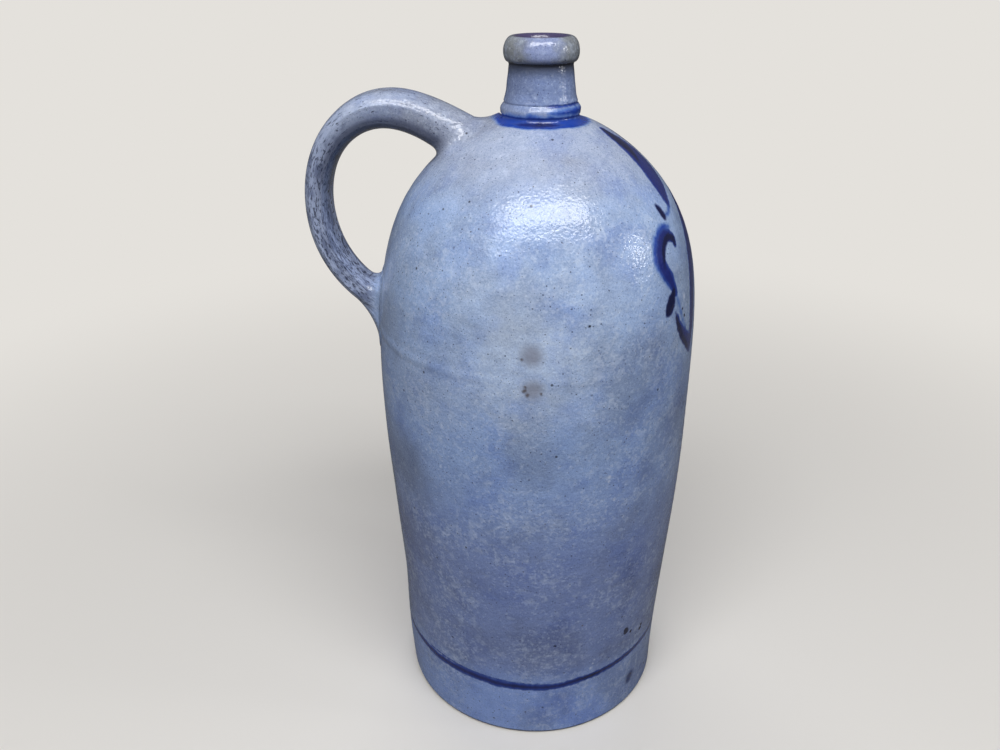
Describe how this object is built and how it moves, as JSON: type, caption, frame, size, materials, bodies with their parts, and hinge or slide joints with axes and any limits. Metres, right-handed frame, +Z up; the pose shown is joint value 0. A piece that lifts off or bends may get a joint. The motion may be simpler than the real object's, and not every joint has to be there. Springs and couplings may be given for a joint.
{
  "type": "stoneware jug",
  "caption": "Tall thrown stoneware jug with a domed shoulder, a narrow collared neck, a rolled lip and a pulled side handle.",
  "frame": {"origin": "centre of the flat underside of the foot, on the pot's axis", "axes": "+Z up along the pot's axis, handle towards -X, painted front towards +X"},
  "size_m": [0.2171, 0.1796, 0.4],
  "materials": {
    "salt_glazed_stoneware": "blue-grey salt glaze, glossy orange-peel skin, painted in cobalt",
    "salt_glazed_lip": "olive-grey salt glaze, browner inside the mouth"
  },
  "bodies": {
    "root": {"lower_body": "salt_glazed_stoneware", "shoulder": "salt_glazed_stoneware", "neck": "salt_glazed_stoneware", "lip_ring": "salt_glazed_lip", "handle": "salt_glazed_stoneware"}
  },
  "joints": []
}
